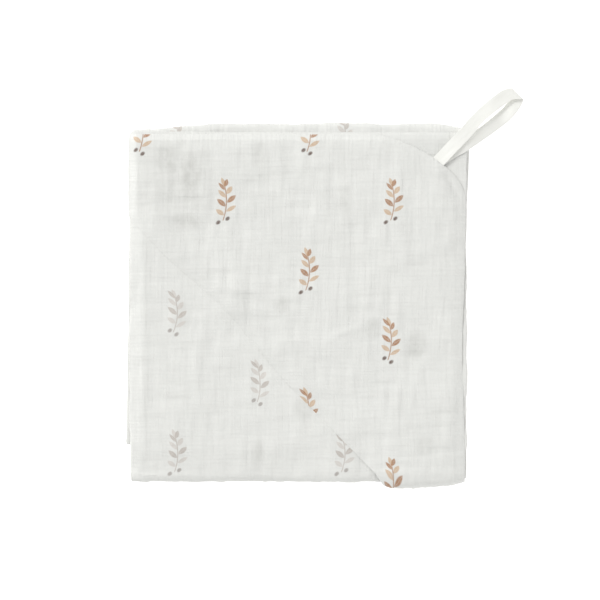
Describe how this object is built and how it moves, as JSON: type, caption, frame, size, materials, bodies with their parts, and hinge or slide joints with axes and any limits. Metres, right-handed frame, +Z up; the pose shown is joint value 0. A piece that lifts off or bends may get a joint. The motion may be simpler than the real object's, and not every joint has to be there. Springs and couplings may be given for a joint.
{
  "type": "folded hooded baby towel",
  "caption": "Thin double-gauze baby towel with a hood panel at one rounded corner, folded into a flat near-square packet, with a satin hanging loop.",
  "frame": {"origin": "middle of the packet's flat underside, at the level of the surface that it lies on", "axes": "+X to the packet's right and +Y to its top, as it is seen from above, and +Z up out of the surface; the hood corner and its loop are at +X +Y"},
  "size_m": [0.2967, 0.2993, 0.0193],
  "materials": {
    "gauze": "soft crinkled cotton double gauze, off-white, with a small sprig print in tan and brown that shows faintly through from the wrong side",
    "satin": "ivory satin ribbon, smooth, with a soft sheen along its length"
  },
  "bodies": {
    "root": {"towel": "gauze", "hood": "gauze", "hanging_loop": "satin"}
  },
  "joints": []
}
